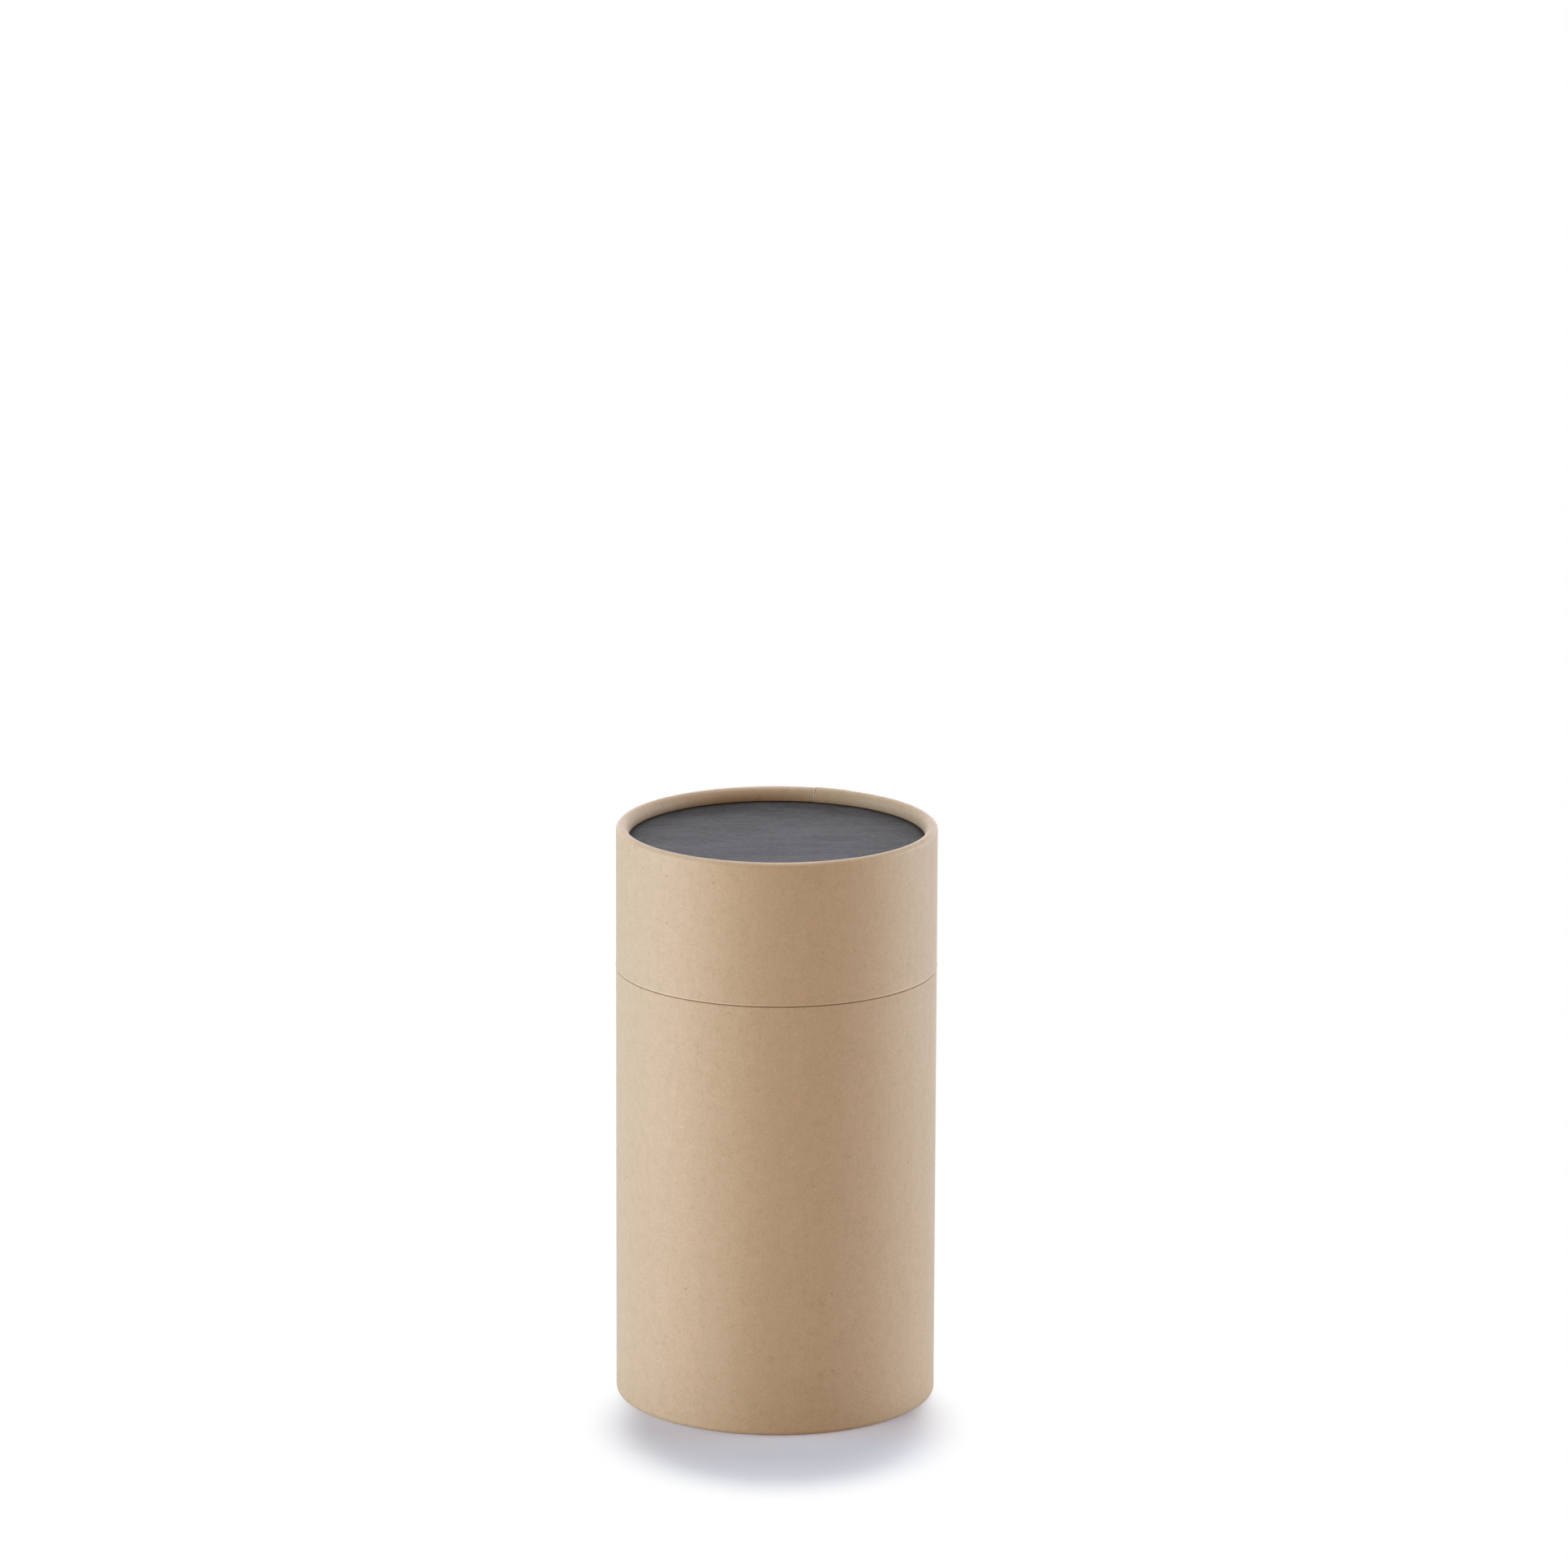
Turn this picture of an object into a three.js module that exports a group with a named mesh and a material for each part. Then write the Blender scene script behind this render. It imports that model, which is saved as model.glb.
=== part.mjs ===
// A round kraft paper tube with a lift-off lid, standing on its base. Lengths are in millimetres,
// +Z is up, and the origin is the centre of the circle that the tube stands on.
//
// Two wound kraft walls of one diameter meet flush at a parting line. Each wall's closed end is
// curled inwards, and a round board disc is glued under the curl. A thinner neck tube is glued
// inside the lower wall and stands up above it. The lid slips over that neck.

import * as THREE from 'three';

// Driving dimensions of the two outer walls
const tubeDiameter = 73;
const lidHeight = 33;
const bodyHeight = 100.6;
const partingGap = 0.2; // between the lid's cut edge and the body's
const wallThickness = 1.1;

// The curled end of a wall: it turns inwards, runs flat and comes back down as a short leg
const bendInnerRadius = 0.1;
const curlLand = 0.5; // flat crown of the curl, which is also the ring that the tube stands on
const curlDepth = 3.1; // from the crown to the face of the disc

// The two end discs
const discThickness = 1.5;
const discFit = 0.1; // radial, between a disc and its wall
const glueFilm = 0.05; // between pieces that are glued end to end

// The neck tube
const neckThickness = 1;
const neckFit = 0.15; // radial, between the neck and both outer walls
const neckRise = 25; // how far the neck stands above the parting line

// Smoothness of the round shapes
const turnSegments = 96;
const bendSegments = 4;

const tubeRadius = tubeDiameter / 2;
const wallInnerRadius = tubeRadius - wallThickness;
const bendOuterRadius = bendInnerRadius + wallThickness;
const curlWidth = 2 * bendOuterRadius + curlLand;
const totalHeight = bodyHeight + partingGap + lidHeight;

const kraftPaper = new THREE.MeshStandardMaterial({ color: '#b9976f', roughness: 0.8, metalness: 0 });
const innerKraft = new THREE.MeshStandardMaterial({ color: '#a88a66', roughness: 0.88, metalness: 0 });
const blackBoard = new THREE.MeshStandardMaterial({ color: '#4b4b50', roughness: 0.72, metalness: 0 });

// Points on a quarter turn about (radius, depth), between two angles in quarter turns
function quarterBend(radius, depth, bendRadius, fromQuarter, toQuarter, segments) {
  return Array.from({ length: segments + 1 }, (_, step) => {
    const angle = (fromQuarter + ((toQuarter - fromQuarter) * step) / segments) * (Math.PI / 2);
    return [radius + bendRadius * Math.cos(angle), depth - bendRadius * Math.sin(angle)];
  });
}

// A section is a list of [radius, height] points. One that closes on itself repeats its first point,
// and one that starts and ends on the axis is closed by turning it.

// Section of a wall with one curled end, with depths below the crown of the curl as its heights.
// It runs up the outside, over the crown, down the leg, back up the narrow slot and down the inside.
function curledWallSection(height) {
  const legInner = tubeRadius - curlWidth;
  const legOuter = legInner + wallThickness;
  const legEnd = curlDepth - glueFilm;
  const outerBendCentre = tubeRadius - bendOuterRadius;
  const innerBendCentre = legInner + bendOuterRadius;
  return [
    [tubeRadius, height],
    ...quarterBend(outerBendCentre, bendOuterRadius, bendOuterRadius, 0, 1, bendSegments),
    ...quarterBend(innerBendCentre, bendOuterRadius, bendOuterRadius, 1, 2, bendSegments),
    [legInner, legEnd],
    [legOuter, legEnd],
    ...quarterBend(innerBendCentre, bendOuterRadius, bendInnerRadius, 2, 1, 1),
    ...quarterBend(outerBendCentre, bendOuterRadius, bendInnerRadius, 1, 0, 1),
    [wallInnerRadius, height],
    [tubeRadius, height],
  ];
}

// Section of a plain ring between two radii
function ringSection(innerRadius, outerRadius, lowZ, highZ) {
  return [
    [outerRadius, lowZ],
    [outerRadius, highZ],
    [innerRadius, highZ],
    [innerRadius, lowZ],
    [outerRadius, lowZ],
  ];
}

// Section of an end disc that fits inside the wall
function discSection(lowZ) {
  const discRadius = wallInnerRadius - discFit;
  const highZ = lowZ + discThickness;
  return [
    [0, lowZ],
    [discRadius, lowZ],
    [discRadius, highZ],
    [0, highZ],
  ];
}

// Turns a section about the Z axis
function turned(name, section, material) {
  const outline = section.map(([radius, height]) => new THREE.Vector2(radius, height));
  const geometry = new THREE.LatheGeometry(outline, turnSegments).rotateX(Math.PI / 2);
  const piece = new THREE.Mesh(geometry, material);
  piece.name = name;
  return piece;
}

// The lid hangs from its crown at the top of the tube, so its depths count downwards
function makeLid() {
  const lid = new THREE.Group();
  const section = curledWallSection(lidHeight).map(([radius, depth]) => [radius, totalHeight - depth]);
  lid.add(turned('lid_shell', section, kraftPaper));
  lid.add(turned('lid_disc', discSection(totalHeight - curlDepth - discThickness), blackBoard));
  return lid;
}

// The body stands on its curl, so its depths are heights. Turning the section over also
// reverses its direction.
function makeBody() {
  const body = new THREE.Group();
  body.add(turned('body_shell', curledWallSection(bodyHeight).reverse(), kraftPaper));
  body.add(turned('base_disc', discSection(curlDepth), blackBoard));

  const neckOuterRadius = wallInnerRadius - neckFit;
  const neckFoot = curlDepth + discThickness + glueFilm;
  const neckTop = bodyHeight + partingGap + neckRise;
  const neckSection = ringSection(neckOuterRadius - neckThickness, neckOuterRadius, neckFoot, neckTop);
  body.add(turned('neck_tube', neckSection, innerKraft));
  return body;
}

const paperTube = new THREE.Group();
paperTube.add(makeBody());
paperTube.add(makeLid());

export default paperTube;
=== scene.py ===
# Looks, light and camera for the kraft paper tube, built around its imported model
import math
import bpy
from mathutils import Matrix, Vector, noise


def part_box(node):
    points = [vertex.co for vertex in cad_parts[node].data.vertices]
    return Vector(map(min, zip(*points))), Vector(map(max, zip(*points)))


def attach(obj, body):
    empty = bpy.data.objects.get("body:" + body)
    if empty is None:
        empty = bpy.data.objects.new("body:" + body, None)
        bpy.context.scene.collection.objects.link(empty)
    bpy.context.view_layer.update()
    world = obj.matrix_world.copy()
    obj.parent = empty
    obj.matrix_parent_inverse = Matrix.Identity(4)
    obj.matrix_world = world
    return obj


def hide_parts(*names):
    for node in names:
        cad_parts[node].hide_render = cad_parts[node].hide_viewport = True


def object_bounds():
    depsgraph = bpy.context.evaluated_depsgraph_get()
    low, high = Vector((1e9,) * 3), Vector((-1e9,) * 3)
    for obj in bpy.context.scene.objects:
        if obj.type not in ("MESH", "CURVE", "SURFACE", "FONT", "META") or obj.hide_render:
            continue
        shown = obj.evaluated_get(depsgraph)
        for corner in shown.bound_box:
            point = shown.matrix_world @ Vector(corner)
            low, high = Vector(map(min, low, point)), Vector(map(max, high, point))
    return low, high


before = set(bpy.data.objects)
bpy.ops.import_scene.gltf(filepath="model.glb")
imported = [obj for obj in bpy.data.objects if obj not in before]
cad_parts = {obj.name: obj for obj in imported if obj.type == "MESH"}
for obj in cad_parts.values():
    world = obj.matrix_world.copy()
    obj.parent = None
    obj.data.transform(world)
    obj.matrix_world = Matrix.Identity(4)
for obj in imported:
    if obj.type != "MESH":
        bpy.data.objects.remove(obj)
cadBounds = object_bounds()
mm = 0.001
print("frame loaded:", ", ".join(sorted(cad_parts)))

# camera, at the photograph's angle
cameraView = {
    "lens": 206.0,  # mm, on a 36 mm sensor
    "distance": 2.052,  # m from the middle of the tube
    "above": 16.03,  # degrees above the horizon
    "aimUp": 2.066,  # degrees, which sets the tube low in the frame
    "aimRight": 0.044,
    "roll": 0.189,
}


def makeCamera(settings, target):
    above = math.radians(settings["above"])
    turn = Matrix.Rotation(math.radians(90 - settings["above"] + settings["aimUp"]), 4, "X")
    turn = turn @ Matrix.Rotation(math.radians(-settings["aimRight"]), 4, "Y")
    turn = turn @ Matrix.Rotation(math.radians(settings["roll"]), 4, "Z")
    lensData = bpy.data.cameras.new("photoCamera")
    lensData.lens = settings["lens"]
    lensData.sensor_width = 36
    lensData.clip_end = 20
    camera = bpy.data.objects.new("photoCamera", lensData)
    bpy.context.scene.collection.objects.link(camera)
    camera.rotation_euler = turn.to_euler()
    camera.location = target + settings["distance"] * Vector((0, -math.cos(above), math.sin(above)))
    bpy.context.scene.camera = camera


tubeHeight = cadBounds[1].z
makeCamera(cameraView, Vector((0, 0, tubeHeight / 2)))
print("camera set")


# small helpers for the node trees
def addNode(tree, kind, place, **settings):
    made = tree.nodes.new("ShaderNode" + kind)
    made.location = place
    for name, value in settings.items():
        setattr(made, name, value)
    return made


def addSocket(group, name, side, kind, value=None):
    socket = group.interface.new_socket(name=name, in_out=side, socket_type=kind)
    if value is not None:
        socket.default_value = value


def newGroup(name):
    group = bpy.data.node_groups.new(name, "ShaderNodeTree")
    return group, group.nodes.new("NodeGroupInput"), group.nodes.new("NodeGroupOutput")


def useGroup(tree, group, place, **values):
    made = tree.nodes.new("ShaderNodeGroup")
    made.node_tree = group
    made.location = place
    for name, value in values.items():
        made.inputs[name].default_value = value
    return made


def mathNode(tree, operation, place, first, second=None, third=None):
    made = addNode(tree, "Math", place, operation=operation)
    for socket, value in zip(made.inputs, (first, second, third)):
        if isinstance(value, (int, float)):
            socket.default_value = value
        elif value is not None:
            tree.links.new(value, socket)
    return made.outputs[0]


# carries a point out to one radius, so that a pattern runs straight up a wall and in over its curl
def makeUnrollGroup():
    group, start, end = newGroup("roundTheTube")
    addSocket(group, "Vector", "INPUT", "NodeSocketVector")
    addSocket(group, "Radius", "INPUT", "NodeSocketFloat", 0.0365)
    addSocket(group, "Vector", "OUTPUT", "NodeSocketVector")
    addSocket(group, "Off Axis", "OUTPUT", "NodeSocketFloat")
    addSocket(group, "Height", "OUTPUT", "NodeSocketFloat")
    flat = addNode(group, "VectorMath", (-400, 100), operation="MULTIPLY")
    flat.inputs[1].default_value = (1, 1, 0)
    direction = addNode(group, "VectorMath", (-200, 200), operation="NORMALIZE")
    ring = addNode(group, "VectorMath", (0, 200), operation="SCALE")
    offAxis = addNode(group, "VectorMath", (-200, 0), operation="LENGTH")
    parts = addNode(group, "SeparateXYZ", (-400, -100))
    upright = addNode(group, "CombineXYZ", (-200, -150))
    whole = addNode(group, "VectorMath", (200, 100), operation="ADD")
    group.links.new(start.outputs["Vector"], flat.inputs[0])
    group.links.new(start.outputs["Vector"], parts.inputs[0])
    group.links.new(flat.outputs[0], direction.inputs[0])
    group.links.new(flat.outputs[0], offAxis.inputs[0])
    group.links.new(direction.outputs[0], ring.inputs[0])
    group.links.new(start.outputs["Radius"], ring.inputs["Scale"])
    group.links.new(parts.outputs["Z"], upright.inputs["Z"])
    group.links.new(ring.outputs[0], whole.inputs[0])
    group.links.new(upright.outputs[0], whole.inputs[1])
    group.links.new(whole.outputs[0], end.inputs["Vector"])
    group.links.new(offAxis.outputs["Value"], end.inputs["Off Axis"])
    group.links.new(parts.outputs["Z"], end.inputs["Height"])
    return group


# paper stock: mottle, fine grain, faint long streaks, broad soft bands, bark specks and pale flecks
paperPattern = {
    "grain": 2300,  # repeats for each metre
    "mottle": 520,
    "streaks": 1100,
    "bands": 105,
    "hue": 640,
    "noiseRoughness": 0.65,
    "rosyShare": 0.25,  # where the hue stands in its middle
    "bark": {"cells": 300, "size": 0.075, "share": 0.5},  # cells for each metre, size in cells
    "pale": {"cells": 620, "size": 0.085, "share": 0.5},
    "speckCore": 0.45,  # share of a speck's size that has its full colour
}


def makePaperGroup(pattern):
    group, start, end = newGroup("paperStock")
    addSocket(group, "Vector", "INPUT", "NodeSocketVector")
    addSocket(group, "Streak Vector", "INPUT", "NodeSocketVector")
    addSocket(group, "Band Vector", "INPUT", "NodeSocketVector")
    addSocket(group, "Dark", "INPUT", "NodeSocketColor")
    addSocket(group, "Light", "INPUT", "NodeSocketColor")
    addSocket(group, "Rosy", "INPUT", "NodeSocketColor")
    addSocket(group, "Speck", "INPUT", "NodeSocketColor")
    addSocket(group, "Mottle", "INPUT", "NodeSocketFloat", 0.6)
    addSocket(group, "Grain", "INPUT", "NodeSocketFloat", 1.0)
    addSocket(group, "Streaks", "INPUT", "NodeSocketFloat", 0.4)
    addSocket(group, "Bands", "INPUT", "NodeSocketFloat", 0.3)
    addSocket(group, "Hue", "INPUT", "NodeSocketFloat", 0.5)
    addSocket(group, "Specks", "INPUT", "NodeSocketFloat", 0.8)
    addSocket(group, "Flecks", "INPUT", "NodeSocketFloat", 0.5)
    addSocket(group, "Color", "OUTPUT", "NodeSocketColor")
    addSocket(group, "Height", "OUTPUT", "NodeSocketFloat")

    def spread(scale, detail, vector, amount, place):
        texture = addNode(group, "TexNoise", place)
        texture.inputs["Scale"].default_value = scale
        texture.inputs["Detail"].default_value = detail
        texture.inputs["Roughness"].default_value = pattern["noiseRoughness"]
        group.links.new(start.outputs[vector], texture.inputs["Vector"])
        centred = mathNode(group, "SUBTRACT", (place[0] + 200, place[1]), texture.outputs["Fac"], 0.5)
        return mathNode(group, "MULTIPLY", (place[0] + 350, place[1]), centred, start.outputs[amount])

    grain = spread(pattern["grain"], 3, "Vector", "Grain", (-900, 0))
    tone = mathNode(group, "ADD", (-300, 300), grain, 0.5)
    mottle = spread(pattern["mottle"], 3, "Vector", "Mottle", (-900, 500))
    tone = mathNode(group, "ADD", (-150, 300), tone, mottle)
    streaks = spread(pattern["streaks"], 2, "Streak Vector", "Streaks", (-900, 250))
    tone = mathNode(group, "ADD", (0, 300), tone, streaks)
    bands = spread(pattern["bands"], 2, "Band Vector", "Bands", (-900, 750))
    tone = mathNode(group, "ADD", (150, 300), tone, bands)
    stock = addNode(group, "Mix", (300, 300), data_type="RGBA")
    group.links.new(tone, stock.inputs["Factor"])
    group.links.new(start.outputs["Dark"], stock.inputs["A"])
    group.links.new(start.outputs["Light"], stock.inputs["B"])
    hue = spread(pattern["hue"], 3, "Vector", "Hue", (-900, 1000))
    drift = mathNode(group, "ADD", (300, 500), hue, pattern["rosyShare"])
    rosy = addNode(group, "Mix", (450, 400), data_type="RGBA")
    group.links.new(drift, rosy.inputs["Factor"])
    group.links.new(stock.outputs["Result"], rosy.inputs["A"])
    group.links.new(start.outputs["Rosy"], rosy.inputs["B"])

    # a speck shows where a cell's own point lies close under the surface, on some cells only
    def dots(kind, amount, place):
        cells = addNode(group, "TexVoronoi", place)
        cells.inputs["Scale"].default_value = kind["cells"]
        group.links.new(start.outputs["Vector"], cells.inputs["Vector"])
        near = addNode(group, "MapRange", (place[0] + 200, place[1]))
        near.inputs["From Min"].default_value = kind["size"]
        near.inputs["From Max"].default_value = kind["size"] * pattern["speckCore"]
        group.links.new(cells.outputs["Distance"], near.inputs["Value"])
        pick = addNode(group, "SeparateColor", (place[0] + 200, place[1] - 200))
        group.links.new(cells.outputs["Color"], pick.inputs[0])
        bare = 1 - kind["share"]
        chosen = mathNode(group, "GREATER_THAN", (place[0] + 400, place[1] - 200), pick.outputs[0], bare)
        shown = mathNode(group, "MULTIPLY", (place[0] + 600, place[1]), near.outputs["Result"], chosen)
        shown = mathNode(group, "MULTIPLY", (place[0] + 800, place[1]), shown, pick.outputs[1])
        return mathNode(group, "MULTIPLY", (place[0] + 950, place[1]), shown, start.outputs[amount])

    bark = dots(pattern["bark"], "Specks", (-900, -300))
    pale = dots(pattern["pale"], "Flecks", (-900, -800))
    withBark = addNode(group, "Mix", (600, 200), data_type="RGBA")
    group.links.new(bark, withBark.inputs["Factor"])
    group.links.new(rosy.outputs["Result"], withBark.inputs["A"])
    group.links.new(start.outputs["Speck"], withBark.inputs["B"])
    withPale = addNode(group, "Mix", (800, 200), data_type="RGBA", blend_type="ADD")
    group.links.new(pale, withPale.inputs["Factor"])
    group.links.new(withBark.outputs["Result"], withPale.inputs["A"])
    group.links.new(start.outputs["Dark"], withPale.inputs["B"])
    group.links.new(withPale.outputs["Result"], end.inputs["Color"])
    group.links.new(grain, end.inputs["Height"])
    return group


# fine creases that run over a curl, where the paper is squeezed round
creasePattern = {
    "repeats": 1150,  # for each metre
    "detail": 1.5,
    "stretch": 0.08,
}


def makeCreaseGroup(pattern):
    group, start, end = newGroup("curlCreases")
    addSocket(group, "Around", "INPUT", "NodeSocketVector")
    addSocket(group, "Height", "INPUT", "NodeSocketFloat")
    addSocket(group, "Crown", "INPUT", "NodeSocketFloat", 0.0)
    addSocket(group, "Reach", "INPUT", "NodeSocketFloat", 0.003)
    addSocket(group, "Creases", "OUTPUT", "NodeSocketFloat")
    squash = addNode(group, "Mapping", (-600, 200))
    squash.inputs["Scale"].default_value = (1, 1, pattern["stretch"])
    texture = addNode(group, "TexNoise", (-400, 200))
    texture.inputs["Scale"].default_value = pattern["repeats"]
    texture.inputs["Detail"].default_value = pattern["detail"]
    group.links.new(start.outputs["Around"], squash.inputs["Vector"])
    group.links.new(squash.outputs[0], texture.inputs["Vector"])
    away = mathNode(group, "SUBTRACT", (-600, -100), start.outputs["Height"], start.outputs["Crown"])
    away = mathNode(group, "ABSOLUTE", (-450, -100), away)
    share = mathNode(group, "DIVIDE", (-300, -100), away, start.outputs["Reach"])
    near = mathNode(group, "SUBTRACT", (-150, -100), 1.0, share)
    near = mathNode(group, "MAXIMUM", (0, -100), near, 0.0)
    centred = mathNode(group, "SUBTRACT", (-150, 200), texture.outputs["Fac"], 0.5)
    group.links.new(mathNode(group, "MULTIPLY", (150, 100), centred, near), end.inputs["Creases"])
    return group


# painted shade: darker towards the corner between a curl and the board that it holds, where shade falls, by
# the distance off the axis
def makePaintedShadeGroup():
    group, start, end = newGroup("paintedCornerShade")
    addSocket(group, "Color", "INPUT", "NodeSocketColor")
    addSocket(group, "Tint", "INPUT", "NodeSocketColor")
    addSocket(group, "Off Axis", "INPUT", "NodeSocketFloat")
    addSocket(group, "From", "INPUT", "NodeSocketFloat")
    addSocket(group, "To", "INPUT", "NodeSocketFloat")
    addSocket(group, "Share", "INPUT", "NodeSocketFloat")
    addSocket(group, "Color", "OUTPUT", "NodeSocketColor")
    near = addNode(group, "MapRange", (-300, 200), interpolation_type="SMOOTHSTEP")
    shaded = addNode(group, "Mix", (-100, 0), data_type="RGBA")
    group.links.new(start.outputs["Off Axis"], near.inputs["Value"])
    group.links.new(start.outputs["From"], near.inputs["From Min"])
    group.links.new(start.outputs["To"], near.inputs["From Max"])
    group.links.new(start.outputs["Share"], near.inputs["To Max"])
    group.links.new(near.outputs["Result"], shaded.inputs["Factor"])
    group.links.new(start.outputs["Color"], shaded.inputs["A"])
    group.links.new(start.outputs["Tint"], shaded.inputs["B"])
    group.links.new(shaded.outputs["Result"], end.inputs["Color"])
    return group


unrollGroup = makeUnrollGroup()
paperGroup = makePaperGroup(paperPattern)
creaseGroup = makeCreaseGroup(creasePattern)
paintedShadeGroup = makePaintedShadeGroup()


def newMaterial(name, roughness, specular, sheen=0.0):
    material = bpy.data.materials.new(name)
    material.use_nodes = True
    shader = material.node_tree.nodes["Principled BSDF"]
    shader.inputs["Roughness"].default_value = roughness
    shader.inputs["Specular IOR Level"].default_value = specular
    shader.inputs["Sheen Weight"].default_value = sheen
    shader.inputs["Sheen Roughness"].default_value = 0.3
    return material, material.node_tree, shader


def addBump(tree, shader, height, strength, depth, place):
    bump = addNode(tree, "Bump", place)
    bump.inputs["Strength"].default_value = strength
    bump.inputs["Distance"].default_value = depth
    tree.links.new(height, bump.inputs["Height"])
    tree.links.new(bump.outputs[0], shader.inputs["Normal"])


def stockTones(colours):
    return {name.capitalize(): colours[name] for name in ("dark", "light", "rosy", "speck")}


# painted highlight: the paper is painted paler close to its cut edge, where the rounded, flared edge catches
# the light
def paintEdgeHighlight(tree, shader, height, colour, cut, settings):
    off = mathNode(tree, "ABSOLUTE", (-450, 500), mathNode(tree, "SUBTRACT", (-600, 500), height, cut))
    near = addNode(tree, "MapRange", (-300, 500))
    near.inputs["From Min"].default_value = settings["width"]
    near.inputs["From Max"].default_value = settings["fullWidth"]
    near.inputs["To Max"].default_value = settings["share"]
    tree.links.new(off, near.inputs["Value"])
    highlighted = addNode(tree, "Mix", (-150, 300), data_type="RGBA")
    highlighted.inputs["B"].default_value = settings["tint"]
    tree.links.new(near.outputs["Result"], highlighted.inputs["Factor"])
    tree.links.new(colour, highlighted.inputs["A"])
    tree.links.new(highlighted.outputs["Result"], shader.inputs["Base Color"])


# puts the corner's painted shade between a material's colour and its shader
def paintCornerShade(tree, shader, offAxis, settings):
    values = {name.capitalize(): value for name, value in settings.items()}
    corner = useGroup(tree, paintedShadeGroup, (-50, 500), **values)
    tree.links.new(offAxis, corner.inputs["Off Axis"])
    tree.links.new(shader.inputs["Base Color"].links[0].from_socket, corner.inputs["Color"])
    tree.links.new(corner.outputs["Color"], shader.inputs["Base Color"])


# how far a pattern is drawn out up the wall
wallStretch = {"streak": 0.13, "band": 0.04}


# paper on a round wall, with the grain running up it; a crown height adds the curl's creases and the painted
# shade in its corner, and a cut height adds the painted highlight along the cut edge
def makeWallPaper(name, colours, amounts, crown=None, cut=None):
    material, tree, shader = newMaterial(
        name, colours["roughness"], colours["specular"], colours.get("sheen", 0.0),
    )
    place = addNode(tree, "TexCoord", (-1400, 0))
    unroll = useGroup(tree, unrollGroup, (-1200, 0))
    streak = addNode(tree, "Mapping", (-1000, 200))
    streak.inputs["Scale"].default_value = (1, 1, wallStretch["streak"])
    band = addNode(tree, "Mapping", (-1000, 500))
    band.inputs["Scale"].default_value = (1, 1, wallStretch["band"])
    stock = useGroup(tree, paperGroup, (-700, 0), **stockTones(colours), **amounts)
    tree.links.new(place.outputs["Object"], unroll.inputs["Vector"])
    tree.links.new(unroll.outputs["Vector"], streak.inputs["Vector"])
    tree.links.new(unroll.outputs["Vector"], band.inputs["Vector"])
    tree.links.new(place.outputs["Object"], stock.inputs["Vector"])
    tree.links.new(streak.outputs[0], stock.inputs["Streak Vector"])
    tree.links.new(band.outputs[0], stock.inputs["Band Vector"])
    tree.links.new(stock.outputs["Color"], shader.inputs["Base Color"])
    if cut is not None:
        paintEdgeHighlight(tree, shader, unroll.outputs["Height"], stock.outputs["Color"], cut, colours["edgeHighlight"])
    height = stock.outputs["Height"]
    if crown is not None:
        # painted shade where the curl meets the disc
        paintCornerShade(tree, shader, unroll.outputs["Off Axis"], colours["corner"])
        creases = useGroup(tree, creaseGroup, (-700, -400), Crown=crown, Reach=colours["creaseReach"])
        tree.links.new(unroll.outputs["Vector"], creases.inputs["Around"])
        tree.links.new(unroll.outputs["Height"], creases.inputs["Height"])
        deep = mathNode(tree, "MULTIPLY", (-450, -400), creases.outputs["Creases"], colours["creaseDepth"])
        height = mathNode(tree, "ADD", (-300, -200), height, deep)
    addBump(tree, shader, height, 0.6, colours["bumpDepth"], (-150, -200))
    return material


# the papers: lengths are in m, and the from and to of a painted corner shade are distances off the axis
outerKraft = {
    "dark": (0.470, 0.328, 0.203, 1),
    "light": (0.645, 0.480, 0.329, 1),
    "rosy": (0.590, 0.412, 0.290, 1),
    "speck": (0.165, 0.090, 0.045, 1),
    "roughness": 0.5,
    "specular": 0.36,
    "sheen": 0.21,
    "bumpDepth": 0.00002,
    "creaseReach": 0.0032,
    "creaseDepth": 2.5,
    # painted highlight along the lid's cut edge
    "edgeHighlight": {"width": 0.00042, "fullWidth": 0.00024, "tint": (0.790, 0.640, 0.490, 1), "share": 0.5},
    # painted shade: the curl is darkened towards its foot, where it meets the disc
    "corner": {"from": 0.0352, "to": 0.0336, "share": 0.1, "tint": (0.230, 0.140, 0.080, 1)},
}
outerAmounts = {
    "Mottle": 0.85, "Grain": 1.7, "Streaks": 0.35, "Bands": 0.35, "Hue": 2.4, "Specks": 0.9, "Flecks": 0.4,
}
innerKraft = {
    "dark": (0.360, 0.235, 0.130, 1),
    "light": (0.475, 0.330, 0.200, 1),
    "rosy": (0.440, 0.290, 0.185, 1),
    "speck": (0.150, 0.085, 0.040, 1),
    "roughness": 0.7,
    "specular": 0.25,
    "bumpDepth": 0.00003,
}
innerAmounts = {
    "Mottle": 0.9, "Grain": 1.2, "Streaks": 0.5, "Bands": 0.3, "Hue": 0.9, "Specks": 0.9, "Flecks": 0.5,
}
# painted shade: a dark paper for the narrow step at the lap's cut edge, where the lap shades it
lapStepShadeKraft = {
    "dark": (0.150, 0.094, 0.054, 1),
    "light": (0.270, 0.176, 0.108, 1),
    "rosy": (0.220, 0.142, 0.090, 1),
    "speck": (0.080, 0.050, 0.030, 1),
    "roughness": 0.9,
    "specular": 0.1,
    "bumpDepth": 0.00002,
}

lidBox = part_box("lid_shell")
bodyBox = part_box("body_shell")
lidPaper = makeWallPaper("kraftLid", outerKraft, outerAmounts, crown=lidBox[1].z, cut=lidBox[0].z)
bodyPaper = makeWallPaper("kraftBody", outerKraft, outerAmounts, crown=bodyBox[0].z)
linerPaper = makeWallPaper("kraftLiner", innerKraft, innerAmounts)

# the neck is wound from a strip of board, so a fine butt line climbs round it
winding = {
    "climb": 0.074,  # m for each turn
    "line": 0.00018,
    "lineCore": 0.3,  # share of the line that has its full colour
    "tint": (0.200, 0.120, 0.062, 1),
}


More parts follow.
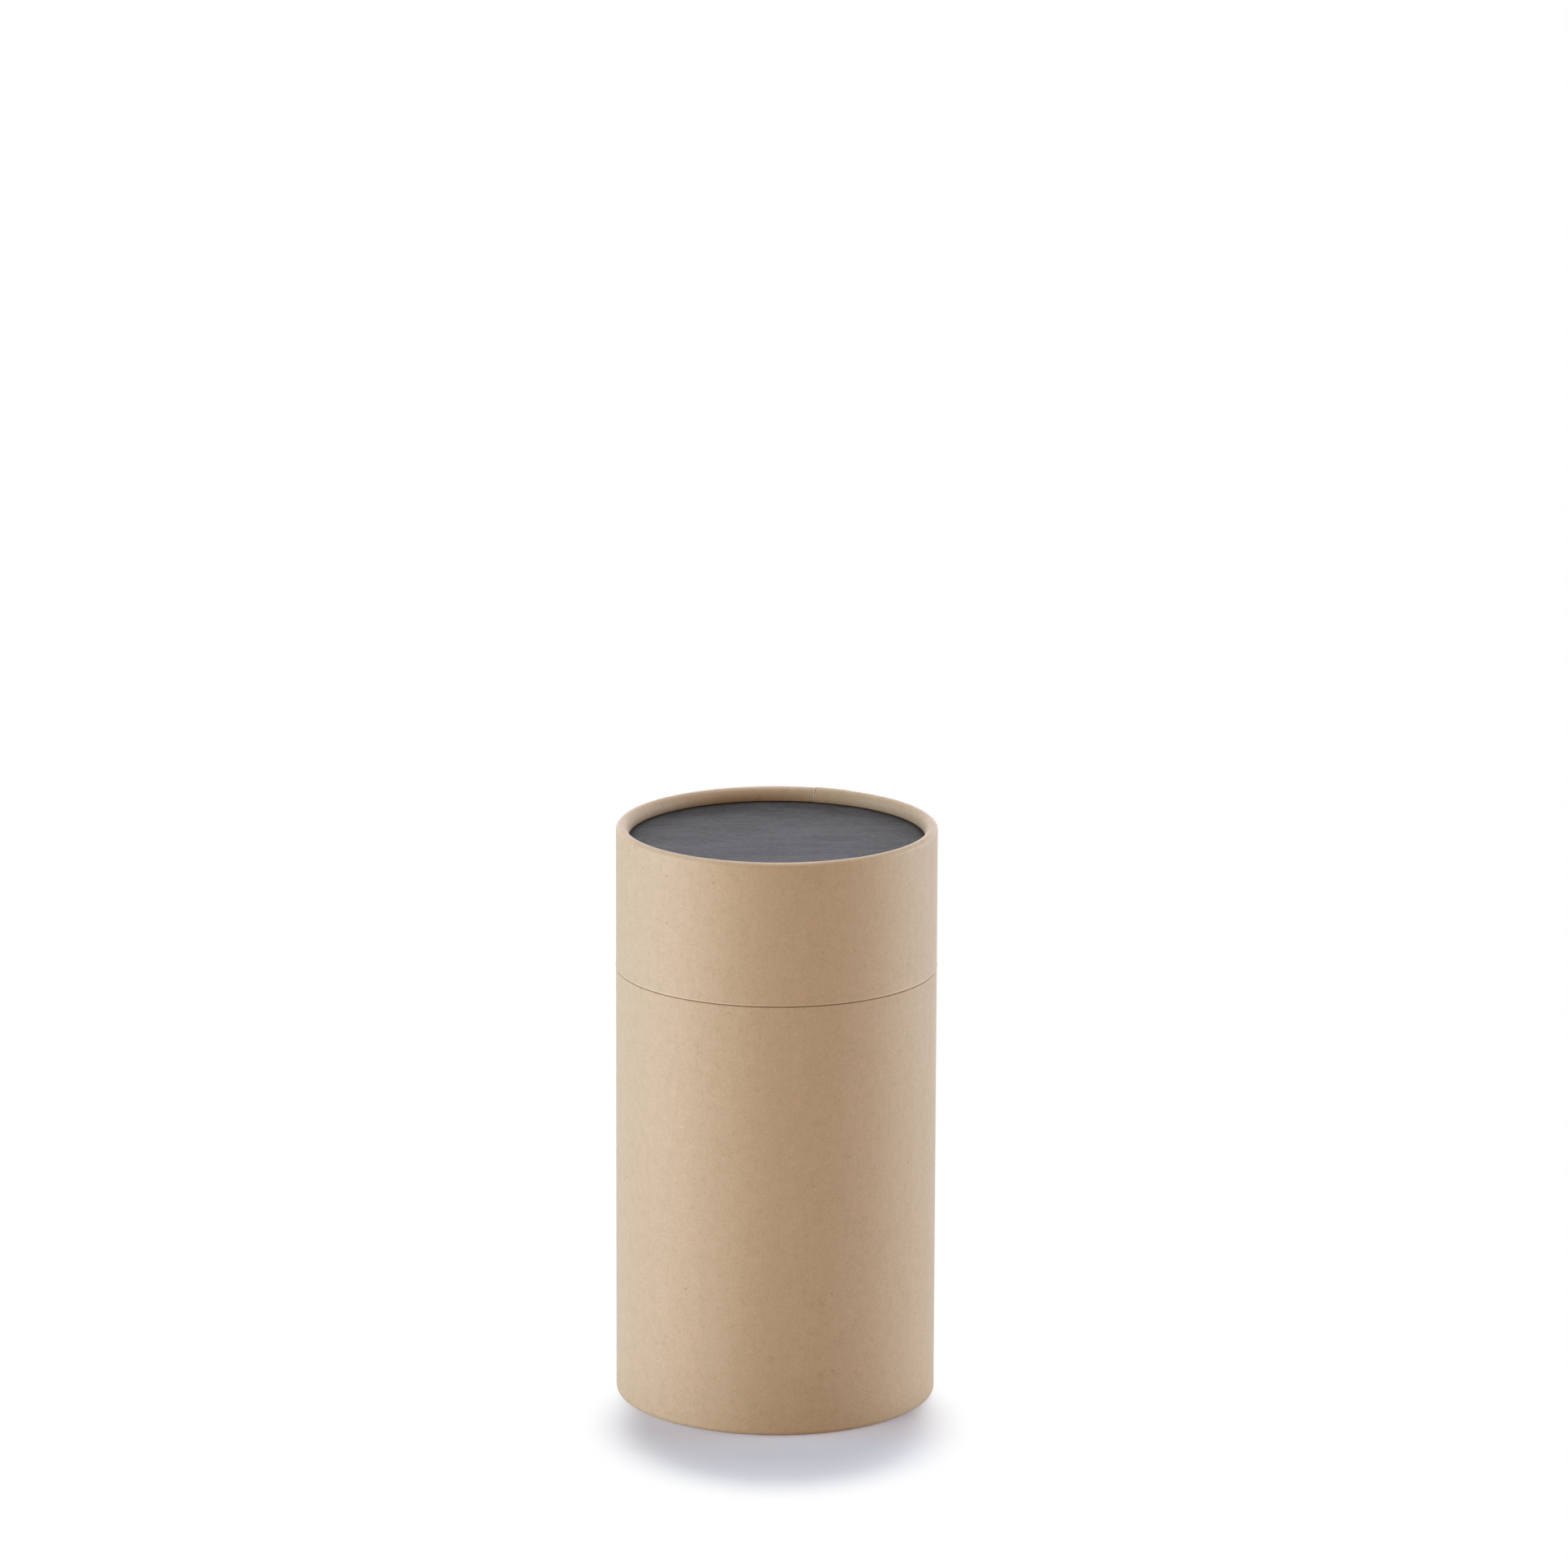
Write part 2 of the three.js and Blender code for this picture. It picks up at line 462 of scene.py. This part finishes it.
def makeNeckPaper(colours, amounts, strip):
    material = makeWallPaper("kraftNeck", colours, amounts)
    tree = material.node_tree
    shader = tree.nodes["Principled BSDF"]
    place = addNode(tree, "TexCoord", (-1400, 700))
    parts = addNode(tree, "SeparateXYZ", (-1200, 700))
    tree.links.new(place.outputs["Object"], parts.inputs[0])
    turn = mathNode(tree, "ARCTAN2", (-1000, 800), parts.outputs["Y"], parts.outputs["X"])
    turn = mathNode(tree, "DIVIDE", (-850, 800), turn, 2 * math.pi)
    climb = mathNode(tree, "DIVIDE", (-1000, 600), parts.outputs["Z"], strip["climb"])
    along = mathNode(tree, "SUBTRACT", (-700, 700), climb, turn)
    along = mathNode(tree, "ADD", (-550, 700), along, 10.5)  # stays above zero
    along = mathNode(tree, "FRACT", (-400, 700), along)
    off = mathNode(tree, "SUBTRACT", (-250, 700), along, 0.5)
    off = mathNode(tree, "ABSOLUTE", (-100, 700), off)
    line = addNode(tree, "MapRange", (50, 700))
    line.inputs["From Min"].default_value = strip["line"] / strip["climb"]
    line.inputs["From Max"].default_value = strip["line"] / strip["climb"] * strip["lineCore"]
    tree.links.new(off, line.inputs["Value"])
    tinted = addNode(tree, "Mix", (250, 500), data_type="RGBA")
    tinted.inputs["B"].default_value = strip["tint"]
    plain = shader.inputs["Base Color"].links[0].from_socket
    tree.links.new(line.outputs["Result"], tinted.inputs["Factor"])
    tree.links.new(plain, tinted.inputs["A"])
    tree.links.new(tinted.outputs["Result"], shader.inputs["Base Color"])
    return material


neckPaper = makeNeckPaper(innerKraft, innerAmounts, winding)

# cut board: thin plies round the tube, with darker glue lines between them
cutBoard = {
    "ply": 0.00024,
    "paper": (0.470, 0.330, 0.205, 1),
    "glue": (0.250, 0.155, 0.085, 1),
    "roughness": 0.9,
    "wander": 700,  # repeats for each metre
    "wanderPlies": 0.9,
    "lineFrom": 0.12,  # of a ply
    "lineTo": 0.02,
    "fuzz": 5200,
    "fuzzDepth": 0.00005,
}


def makeCutMaterial(settings):
    material, tree, shader = newMaterial("cutPlies", settings["roughness"], 0.2)
    place = addNode(tree, "TexCoord", (-1200, 0))
    unroll = useGroup(tree, unrollGroup, (-1000, 0))
    tree.links.new(place.outputs["Object"], unroll.inputs["Vector"])
    wander = addNode(tree, "TexNoise", (-1000, -300))
    wander.inputs["Scale"].default_value = settings["wander"]
    tree.links.new(place.outputs["Object"], wander.inputs["Vector"])
    plies = mathNode(tree, "DIVIDE", (-800, 0), unroll.outputs["Off Axis"], settings["ply"])
    wobble = mathNode(tree, "MULTIPLY", (-800, -300), wander.outputs["Fac"], settings["wanderPlies"])
    plies = mathNode(tree, "ADD", (-600, 0), plies, wobble)
    wave = mathNode(tree, "PINGPONG", (-450, 0), plies, 0.5)
    line = addNode(tree, "MapRange", (-300, 0))
    line.inputs["From Min"].default_value = settings["lineFrom"]
    line.inputs["From Max"].default_value = settings["lineTo"]
    tree.links.new(wave, line.inputs["Value"])
    fuzz = addNode(tree, "TexNoise", (-450, -300))
    fuzz.inputs["Scale"].default_value = settings["fuzz"]
    tree.links.new(place.outputs["Object"], fuzz.inputs["Vector"])
    shade = mathNode(tree, "MULTIPLY", (-150, -100), line.outputs["Result"], fuzz.outputs["Fac"])
    colour = addNode(tree, "Mix", (0, 0), data_type="RGBA")
    colour.inputs["A"].default_value = settings["paper"]
    colour.inputs["B"].default_value = settings["glue"]
    tree.links.new(shade, colour.inputs["Factor"])
    tree.links.new(colour.outputs["Result"], shader.inputs["Base Color"])
    addBump(tree, shader, fuzz.outputs["Fac"], 0.7, settings["fuzzDepth"], (0, -300))
    return material


cutPaper = makeCutMaterial(cutBoard)
# the dark paper of the lap's step, a painted shade
lapStepShadePaper = makeWallPaper("lapEdge", lapStepShadeKraft, innerAmounts)

# charcoal board of the end discs, with its fibres lying across the tube
discBoard = {
    "dark": (0.016, 0.015, 0.017, 1),
    "light": (0.066, 0.064, 0.068, 1),
    "rosy": (0.040, 0.039, 0.043, 1),
    "speck": (0.010, 0.010, 0.010, 1),
    "roughness": 0.42,
    "specular": 0.055,
    "bumpDepth": 0.00009,
    "streakStretch": (0.16, 1, 1),
    "bandStretch": (0.45, 1.6, 1),
    # painted shade: the board is darkened almost to black beside the curl, where the curl shades it
    "corner": {"from": 0.0316, "to": 0.0334, "share": 0.95, "tint": (0.010, 0.008, 0.008, 1)},
}
discAmounts = {
    "Mottle": 2.5, "Grain": 2.9, "Streaks": 1.8, "Bands": 2.6, "Hue": 0.5, "Specks": 0.3, "Flecks": 2.5,
}


def makeDiscMaterial(colours, amounts):
    material, tree, shader = newMaterial("charcoalBoard", colours["roughness"], colours["specular"])
    place = addNode(tree, "TexCoord", (-1200, 0))
    streak = addNode(tree, "Mapping", (-1000, 200))
    streak.inputs["Scale"].default_value = colours["streakStretch"]
    band = addNode(tree, "Mapping", (-1000, 500))
    band.inputs["Scale"].default_value = colours["bandStretch"]
    stock = useGroup(tree, paperGroup, (-700, 0), **stockTones(colours), **amounts)
    tree.links.new(place.outputs["Object"], streak.inputs["Vector"])
    tree.links.new(place.outputs["Object"], band.inputs["Vector"])
    tree.links.new(place.outputs["Object"], stock.inputs["Vector"])
    tree.links.new(streak.outputs[0], stock.inputs["Streak Vector"])
    tree.links.new(band.outputs[0], stock.inputs["Band Vector"])
    tree.links.new(stock.outputs["Color"], shader.inputs["Base Color"])
    addBump(tree, shader, stock.outputs["Height"], 0.6, colours["bumpDepth"], (-300, -300))
    unroll = useGroup(tree, unrollGroup, (-700, 600))
    tree.links.new(place.outputs["Object"], unroll.inputs["Vector"])
    # painted shade beside the curl's foot
    paintCornerShade(tree, shader, unroll.outputs["Off Axis"], colours["corner"])
    return material


charcoalBoard = makeDiscMaterial(discBoard, discAmounts)
print("materials made")


# modelling: a profile is drawn point by point and spun, or a circle is pulled out
def pointAt(radius, height, azimuth):
    return Vector((radius * math.cos(azimuth), radius * math.sin(azimuth), height))


def drawProfile(name, points, azimuth):
    bpy.ops.object.select_all(action="DESELECT")
    last = pointAt(*points[0], azimuth)
    bpy.ops.mesh.primitive_plane_add(size=mm, location=last)
    piece = bpy.context.object
    piece.name = name
    piece.data.name = name
    bpy.ops.object.transform_apply(location=True, rotation=False, scale=False)
    bpy.ops.object.mode_set(mode="EDIT")
    bpy.ops.mesh.select_mode(type="VERT")
    bpy.ops.mesh.select_all(action="SELECT")
    bpy.ops.mesh.merge(type="CENTER")
    for radius, height in points[1:]:
        new = pointAt(radius, height, azimuth)
        bpy.ops.mesh.extrude_region_move(TRANSFORM_OT_translate={"value": new - last})
        last = new
    return piece


def addCircle(name, radius, height, corners, fill):
    bpy.ops.object.select_all(action="DESELECT")
    bpy.ops.mesh.primitive_circle_add(
        vertices=corners, radius=radius, fill_type=fill, location=(0, 0, height),
    )
    piece = bpy.context.object
    piece.name = name
    piece.data.name = name
    bpy.ops.object.transform_apply(location=True, rotation=False, scale=False)
    bpy.ops.object.mode_set(mode="EDIT")
    bpy.ops.mesh.select_all(action="SELECT")
    return piece


# selects vertices, edges or faces by a test of each one, and leaves the piece in edit mode
def pick(piece, kind, test):
    bpy.ops.object.mode_set(mode="OBJECT")
    kinds = {"VERT": piece.data.vertices, "EDGE": piece.data.edges, "FACE": piece.data.polygons}
    for items in kinds.values():
        items.foreach_set("select", [False] * len(items))
    kinds[kind].foreach_set("select", [test(item) for item in kinds[kind]])
    bpy.context.tool_settings.mesh_select_mode = [kind == name for name in kinds]
    bpy.ops.object.mode_set(mode="EDIT")


def applyModifiers(piece):
    bpy.ops.object.mode_set(mode="OBJECT")
    for modifier in list(piece.modifiers):
        bpy.ops.object.modifier_apply(modifier=modifier.name)


def thicken(piece, wall):
    # the inner face and the rims take the second and third material
    piece.vertex_groups.new(name="inside")
    solid = piece.modifiers.new("wall", "SOLIDIFY")
    solid.thickness = wall
    solid.offset = -1
    solid.use_even_offset = True
    solid.use_quality_normals = True
    solid.shell_vertex_group = "inside"
    solid.material_offset = 1
    solid.material_offset_rim = 2
    applyModifiers(piece)


smoothAngle = 50  # degrees, past which an edge stays sharp


def finishPiece(piece, body, node):
    bpy.ops.object.mode_set(mode="OBJECT")
    bpy.ops.object.shade_smooth_by_angle(angle=math.radians(smoothAngle))
    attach(piece, body)
    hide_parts(node)
    print(f"{piece.name}: {len(piece.data.polygons)} faces")


# a quarter of an oval about (radius, depth)
def quarterTurn(radius, depth, across, down, start, steps):
    turns = [math.radians(start + 90 * step / steps) for step in range(steps + 1)]
    return [(radius + across * math.cos(turn), depth - down * math.sin(turn)) for turn in turns]


# the wound walls of lid and body, each with a curled end, a cut end and a lap down its length
wallShape = {
    "wall": 1.1 * mm,
    "bend": 1.2 * mm,  # outside radius where the wall turns in
    "rollAcross": 1.7 * mm,  # from there the roll falls softly to the disc
    "rollDown": 2.5 * mm,
    "rollTuck": 0.14 * mm,  # how far its foot turns back under it
    "legEnd": 3.05 * mm,  # below the crown
    "bendSteps": 8,
    "columns": 540,
    "ringStep": 4 * mm,
    "edgeRound": 0.11 * mm,
    "lapEdge": 0.22,  # degrees that the cut edge of the lap takes
    "lapHeight": 0.11 * mm,
    "lapWidth": 6.5 * mm,
    "lapFall": 3 * mm,  # over which the lap sinks back to the wall
    "creaseDepth": 0.03 * mm,
    "creaseWidth": 1.1 * mm,
    "waveDepth": 0.03 * mm,
    "waveFade": 6 * mm,
    "waveTurn": 1.6,  # how fast the waves change around the wall
    "waveClimb": 9,  # and up it
    "closeToCut": (0, 0.2 * mm, 0.4 * mm, 0.7 * mm, 1.3 * mm),  # rows of points by the cut edge
}


def skinPoints(shape, outer, height):
    run = height - shape["bend"]
    rings = math.ceil(run / shape["ringStep"])
    steps = list(shape["closeToCut"]) + [run * ring / rings for ring in range(1, rings)]
    points = [(outer, height - step) for step in steps]
    crownRadius = outer - shape["bend"]
    across = shape["rollAcross"]
    down = shape["rollDown"]
    points += quarterTurn(crownRadius, shape["bend"], shape["bend"], shape["bend"], 0, shape["bendSteps"])
    points += quarterTurn(crownRadius, down, across, down, 90, shape["bendSteps"])[1:]
    points.append((crownRadius - across + 0.25 * shape["rollTuck"], (down + shape["legEnd"]) / 2))
    points.append((crownRadius - across + shape["rollTuck"], shape["legEnd"]))
    return points


# straight out of the skin, as (away from the axis, towards the crown)
def skinNormal(shape, outer, radius, depth):
    crownRadius = outer - shape["bend"]
    outside = radius > crownRadius
    across = shape["bend"] if outside else shape["rollAcross"]
    down = shape["bend"] if outside else shape["rollDown"]
    if depth >= down:
        return (1, 0) if outside else (-1, 0)
    out = Vector(((radius - crownRadius) / across ** 2, (down - depth) / down ** 2)).normalized()
    return out.x, out.y


# 1 on the lap, sinking softly to 0 where the double paper ends
def lapShare(shape, around):
    sunk = min(1, max(0, (around - shape["lapWidth"]) / shape["lapFall"]))
    return 0.5 + 0.5 * math.cos(math.pi * sunk)


def makeWall(name, body, node, crown, cut, seamDegrees, flare, paper, shape):
    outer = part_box(node)[1].x
    towardsCut = 1 if cut > crown else -1
    seam = math.radians(seamDegrees)
    lapEdge = math.radians(shape["lapEdge"])
    points = skinPoints(shape, outer, abs(cut - crown))
    piece = drawProfile(name, [(radius, crown + towardsCut * depth) for radius, depth in points], seam)

    # turned almost all the way round, clockwise from above, and closed by the lap's narrow cut edge
    bpy.ops.mesh.select_all(action="SELECT")
    bpy.ops.mesh.spin(
        steps=shape["columns"], angle=2 * math.pi - lapEdge, center=(0, 0, 0), axis=(0, 0, 1),
    )

    def pastSeam(co):
        return (seam - math.atan2(co.y, co.x) + lapEdge / 3) % (2 * math.pi) * outer

    lapGap = lapEdge * outer

    def besideSeam(edge):
        ends = [pastSeam(piece.data.vertices[i].co) for i in edge.vertices]
        return max(ends) < lapGap or min(ends) > 2 * math.pi * outer - lapGap

    pick(piece, "EDGE", besideSeam)
    bpy.ops.mesh.bridge_edge_loops()
    bpy.ops.mesh.select_all(action="SELECT")
    bpy.ops.mesh.normals_make_consistent(inside=False)
    bpy.ops.object.mode_set(mode="OBJECT")
    print(name, "spun")

    # the cut end flares a little and the whole wall is slightly out of round
    for vertex in piece.data.vertices:
        away = Vector((vertex.co.x, vertex.co.y, 0)).normalized()
        flaring = flare["amount"] * math.exp(-abs(vertex.co.z - cut) / flare["length"])
        spot = away * shape["waveTurn"] + Vector((0, 0, vertex.co.z * shape["waveClimb"]))
        waving = shape["waveDepth"] * noise.noise(spot)
        fade = min(1, abs(vertex.co.z - crown) / shape["waveFade"])
        vertex.co += away * (flaring + waving * fade)
    thicken(piece, shape["wall"])

    # only the skin takes the lap and the creases of the curl
    curlWidth = shape["bend"] + shape["rollAcross"]
    for vertex in piece.data.vertices:
        if vertex.groups:
            continue
        radius = math.hypot(vertex.co.x, vertex.co.y)
        away = Vector((vertex.co.x, vertex.co.y, 0)).normalized()
        out, up = skinNormal(shape, outer, radius, abs(vertex.co.z - crown))
        normal = away * out + Vector((0, 0, -towardsCut * up))
        squeezed = min(1, max(0, (outer - radius) / curlWidth))
        crease = noise.noise(away * outer / shape["creaseWidth"])
        lap = shape["lapHeight"] * lapShare(shape, pastSeam(vertex.co))
        vertex.co += normal * (lap + shape["creaseDepth"] * squeezed * crease)
        if towardsCut > 0:  # pressed flat where the tube stands
            vertex.co.z = max(vertex.co.z, crown)

    def onCutLoop(edge):
        ends = [piece.data.vertices[i] for i in edge.vertices]
        atCut = all(abs(end.co.z - cut) < 0.01 * mm for end in ends)
        return atCut and len(ends[0].groups) == len(ends[1].groups)

    pick(piece, "EDGE", onCutLoop)
    bpy.ops.mesh.bevel(offset=shape["edgeRound"], segments=2, affect="EDGES")
    bpy.ops.object.mode_set(mode="OBJECT")
    for material in (paper, linerPaper, cutPaper, lapStepShadePaper):
        piece.data.materials.append(material)
    # the narrow faces that close the lap take the dark paper, a painted shade at its step
    for face in piece.data.polygons:
        steps = [pastSeam(piece.data.vertices[i].co) for i in face.vertices]
        if face.material_index == 0 and min(steps) < lapGap / 2 and max(steps) > 2 * math.pi * outer - lapGap:
            face.material_index = 3
    finishPiece(piece, body, node)
    return piece


lidSeam = 75  # degrees from +X, at the back, to the right of the middle as the camera sees it
bodySeam = 101
lidFlare = {"amount": 0.13 * mm, "length": 0.4 * mm}
bodyFlare = {"amount": 0.05 * mm, "length": 0.8 * mm}
lidTrim = 0.11 * mm  # off its cut edge
lidWall = makeWall(
    "lidWall", "lid", "lid_shell", lidBox[1].z, lidBox[0].z + lidTrim, lidSeam, lidFlare, lidPaper, wallShape,
)
bodyWall = makeWall(
    "bodyWall", "body", "body_shell", bodyBox[0].z, bodyBox[1].z, bodySeam, bodyFlare, bodyPaper, wallShape,
)

# the neck that the lid slides over
neckShape = {
    "wall": 1.0 * mm,
    "corners": 360,
    "rings": 10,
    "edgeRound": 0.2 * mm,
}


def makeNeck(shape):
    low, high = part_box("neck_tube")
    piece = addCircle("neckTube", high.x, low.z, shape["corners"], "NOTHING")
    rise = (high.z - low.z) / shape["rings"]
    for _ in range(shape["rings"]):
        bpy.ops.mesh.extrude_region_move(TRANSFORM_OT_translate={"value": (0, 0, rise)})
    bpy.ops.mesh.select_all(action="SELECT")
    bpy.ops.mesh.normals_make_consistent(inside=False)
    thicken(piece, shape["wall"])

    def onTopLoop(edge):
        ends = [piece.data.vertices[i] for i in edge.vertices]
        atTop = all(abs(end.co.z - high.z) < 0.01 * mm for end in ends)
        return atTop and len(ends[0].groups) == len(ends[1].groups)

    pick(piece, "EDGE", onTopLoop)
    bpy.ops.mesh.bevel(offset=shape["edgeRound"], segments=3, affect="EDGES")
    for material in (neckPaper, neckPaper, cutPaper):
        piece.data.materials.append(material)
    finishPiece(piece, "body", "neck_tube")


makeNeck(neckShape)

# the two end discs, each seen on the side that its curl frames
discShape = {
    "corners": 288,
    "rings": 9,
    "ringWidth": 3.6 * mm,
    "rise": 0.1 * mm,  # of the middle
    "wave": 0.03 * mm,
    "waveRepeats": 70,  # for each metre
    "edgeRound": 0.25 * mm,
}


def makeDisc(name, body, node, faceUp, shape):
    low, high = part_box(node)
    shown, hidden = (high.z, low.z) if faceUp else (low.z, high.z)
    outward = 1 if faceUp else -1
    piece = addCircle(name, high.x, hidden, shape["corners"], "NGON")
    bpy.ops.mesh.extrude_region_move(TRANSFORM_OT_translate={"value": (0, 0, shown - hidden)})
    bpy.ops.mesh.select_all(action="SELECT")
    bpy.ops.mesh.normals_make_consistent(inside=False)
    pick(piece, "FACE", lambda face: face.normal.z * outward > 0.9)
    bpy.ops.mesh.bevel(offset=shape["edgeRound"], segments=2, affect="EDGES")
    pick(piece, "FACE", lambda face: face.normal.z * outward > 0.99 and face.loop_total > 4)
    for _ in range(shape["rings"]):
        bpy.ops.mesh.inset(thickness=shape["ringWidth"], depth=0)
    bpy.ops.mesh.poke()
    bpy.ops.object.mode_set(mode="OBJECT")

    # the board bows out a little in the middle and isn't quite flat
    edge = high.x - shape["edgeRound"] * 2
    for vertex in piece.data.vertices:
        inner = 1 - (math.hypot(vertex.co.x, vertex.co.y) / edge) ** 2
        if abs(vertex.co.z - shown) < 0.01 * mm and inner > 0:
            spot = Vector((vertex.co.x, vertex.co.y, 0)) * shape["waveRepeats"]
            wave = shape["wave"] * noise.noise(spot)
            vertex.co.z += outward * inner * (shape["rise"] + wave)
    piece.data.materials.append(charcoalBoard)
    finishPiece(piece, body, node)
    return piece


makeDisc("lidDisc", "lid", "lid_disc", True, discShape)
makeDisc("baseDisc", "body", "base_disc", False, discShape)
print("pieces modelled")

# plain studio: softboxes left and right, cool from the side and warm from the front, a low one
# behind, and two lamps high up at the back. Each faces the middle of the tube, from so many degrees
# around to the right of the camera's side and so many above; lengths are in m and powers in W
studio = {
    "coolLeft": {
        "around": -90, "above": 8, "distance": 1.0,
        "size": (0.5, 0.5), "power": 6.2, "colour": (0.44, 0.73, 1.0),
    },
    "leftBox": {
        "around": -60, "above": 8, "distance": 1.0,
        "size": (0.5, 0.5), "power": 4.56, "colour": (0.95, 1.0, 0.93),
    },
    "warmLeft": {
        "around": -40, "above": 8, "distance": 1.0,
        "size": (0.5, 0.5), "power": 2.45, "colour": (1.0, 0.67, 0.40),
    },
    "warmRight": {
        "around": 70, "above": 8, "distance": 1.0,
        "size": (0.5, 0.5), "power": 1.95, "colour": (1.0, 0.60, 0.25),
    },
    "rightBox": {
        "around": 95, "above": 8, "distance": 1.0,
        "size": (0.5, 0.5), "power": 5.5, "colour": (0.83, 0.97, 1.0),
    },
    "coolRight": {
        "around": 120, "above": 8, "distance": 1.0,
        "size": (0.5, 0.5), "power": 3.1, "colour": (0.375, 0.625, 1.0),
    },
    "backBox": {
        "around": 180, "above": 12, "distance": 1.0,
        "size": (1.1, 0.45), "power": 2.3, "colour": (0.87, 0.87, 1.0),
    },
    "highBack": {
        "around": 180, "above": 48, "distance": 1.0,
        "size": (0.6, 0.4), "power": 2.1, "colour": (0.81, 0.87, 1.0),
    },
    "highLamp": {
        "around": 176, "above": 77, "distance": 1.15,
        "size": (0.20, 0.34), "power": 5.6, "colour": (1.0, 1.0, 1.0),
    },
}
surround = {
    "fill": (0.92, 0.96, 1.0, 1),
    "fillStrength": 0.04,
    "floor": (0.78, 0.78, 0.78, 1),
    "floorSeen": (0.98, 0.98, 0.98, 1),  # the camera sees the lit floor paler
    "floorSize": 8,
    "lift": (0.50, 0.52, 1.0, 1),  # what the camera sees on the floor besides its lit colour
    "liftStrength": 0.105,
    "shadowMiddle": (0.0008, -0.0285),
    "shadowReach": (0.0455, 0.055),  # past this oval the camera sees plain white
    "shadowFade": 0.64,
}


def makeLamp(name, settings):
    lampData = bpy.data.lights.new(name, "AREA")
    lampData.shape = "RECTANGLE"
    lampData.size, lampData.size_y = settings["size"]
    lampData.energy = settings["power"]
    lampData.color = settings["colour"]
    lamp = bpy.data.objects.new(name, lampData)
    bpy.context.scene.collection.objects.link(lamp)
    around = math.radians(settings["around"])
    above = math.radians(settings["above"])
    away = Vector((math.sin(around) * math.cos(above), -math.cos(around) * math.cos(above), math.sin(above)))
    lamp.location = Vector((0, 0, tubeHeight / 2)) + settings["distance"] * away
    lamp.rotation_euler = (-away).to_track_quat("-Z", "Y").to_euler()


for lampName, lampSettings in studio.items():
    makeLamp(lampName, lampSettings)


def addEmission(tree, colour, strength, place):
    glow = addNode(tree, "Emission", place)
    glow.inputs["Color"].default_value = colour
    glow.inputs["Strength"].default_value = strength
    return glow.outputs[0]


def mixShaders(tree, share, first, second, place):
    mix = addNode(tree, "MixShader", place)
    tree.links.new(share, mix.inputs[0])
    tree.links.new(first, mix.inputs[1])
    tree.links.new(second, mix.inputs[2])
    return mix.outputs[0]


# white where the camera or a reflection looks, and a weak fill everywhere else
def makeWorld(settings):
    world = bpy.data.worlds.new("paleSurround")
    world.use_nodes = True
    tree = world.node_tree
    tree.nodes.clear()
    path = addNode(tree, "LightPath", (-600, 200))
    seen = path.outputs["Is Camera Ray"]
    seen = mathNode(tree, "MAXIMUM", (-400, 200), seen, path.outputs["Is Glossy Ray"])
    seen = mathNode(tree, "MAXIMUM", (-200, 200), seen, path.outputs["Is Transmission Ray"])
    fill = addNode(tree, "Background", (-200, 0))
    fill.inputs["Color"].default_value = settings["fill"]
    fill.inputs["Strength"].default_value = settings["fillStrength"]
    white = addNode(tree, "Background", (-200, -150))
    white.inputs["Color"].default_value = (1, 1, 1, 1)
    white.inputs["Strength"].default_value = 1
    out = addNode(tree, "OutputWorld", (200, 0))
    both = mixShaders(tree, seen, fill.outputs[0], white.outputs[0], (0, 0))
    tree.links.new(both, out.inputs["Surface"])
    bpy.context.scene.world = world


# a pale floor that keeps the tube's shadow, and that the camera sees as plain white further out
def makeFloor(settings):
    bpy.ops.object.select_all(action="DESELECT")
    bpy.ops.mesh.primitive_plane_add(size=settings["floorSize"])
    floor = bpy.context.object
    floor.name = "floor"
    material, tree, shader = newMaterial("paleFloor", 1.0, 0.0)
    shader.inputs["Base Color"].default_value = settings["floor"]
    place = addNode(tree, "TexCoord", (-900, 500))
    oval = addNode(tree, "Mapping", (-700, 500))
    middle = settings["shadowMiddle"]
    reach = settings["shadowReach"]
    oval.inputs["Scale"].default_value = (1 / reach[0], 1 / reach[1], 0)
    oval.inputs["Location"].default_value = (-middle[0] / reach[0], -middle[1] / reach[1], 0)
    off = addNode(tree, "VectorMath", (-500, 500), operation="LENGTH")
    fade = addNode(tree, "MapRange", (-300, 500), interpolation_type="SMOOTHSTEP")
    fade.inputs["From Min"].default_value = settings["shadowFade"]
    tree.links.new(place.outputs["Object"], oval.inputs["Vector"])
    tree.links.new(oval.outputs[0], off.inputs[0])
    tree.links.new(off.outputs["Value"], fade.inputs["Value"])
    seen = addNode(tree, "BsdfDiffuse", (-200, 150))
    seen.inputs["Color"].default_value = settings["floorSeen"]
    lit = addNode(tree, "AddShader", (0, 100))
    tree.links.new(seen.outputs[0], lit.inputs[0])
    tree.links.new(addEmission(tree, settings["lift"], settings["liftStrength"], (-200, 0)), lit.inputs[1])
    white = addEmission(tree, (1, 1, 1, 1), 1, (-200, -200))
    shown = mixShaders(tree, fade.outputs["Result"], lit.outputs[0], white, (200, 200))
    path = addNode(tree, "LightPath", (200, 500))
    whole = mixShaders(tree, path.outputs["Is Camera Ray"], shader.outputs[0], shown, (400, 200))
    tree.links.new(whole, tree.nodes["Material Output"].inputs["Surface"])
    floor.data.materials.append(material)


makeWorld(surround)
makeFloor(surround)
bpy.context.scene.view_settings.view_transform = "Standard"
print("studio lit")
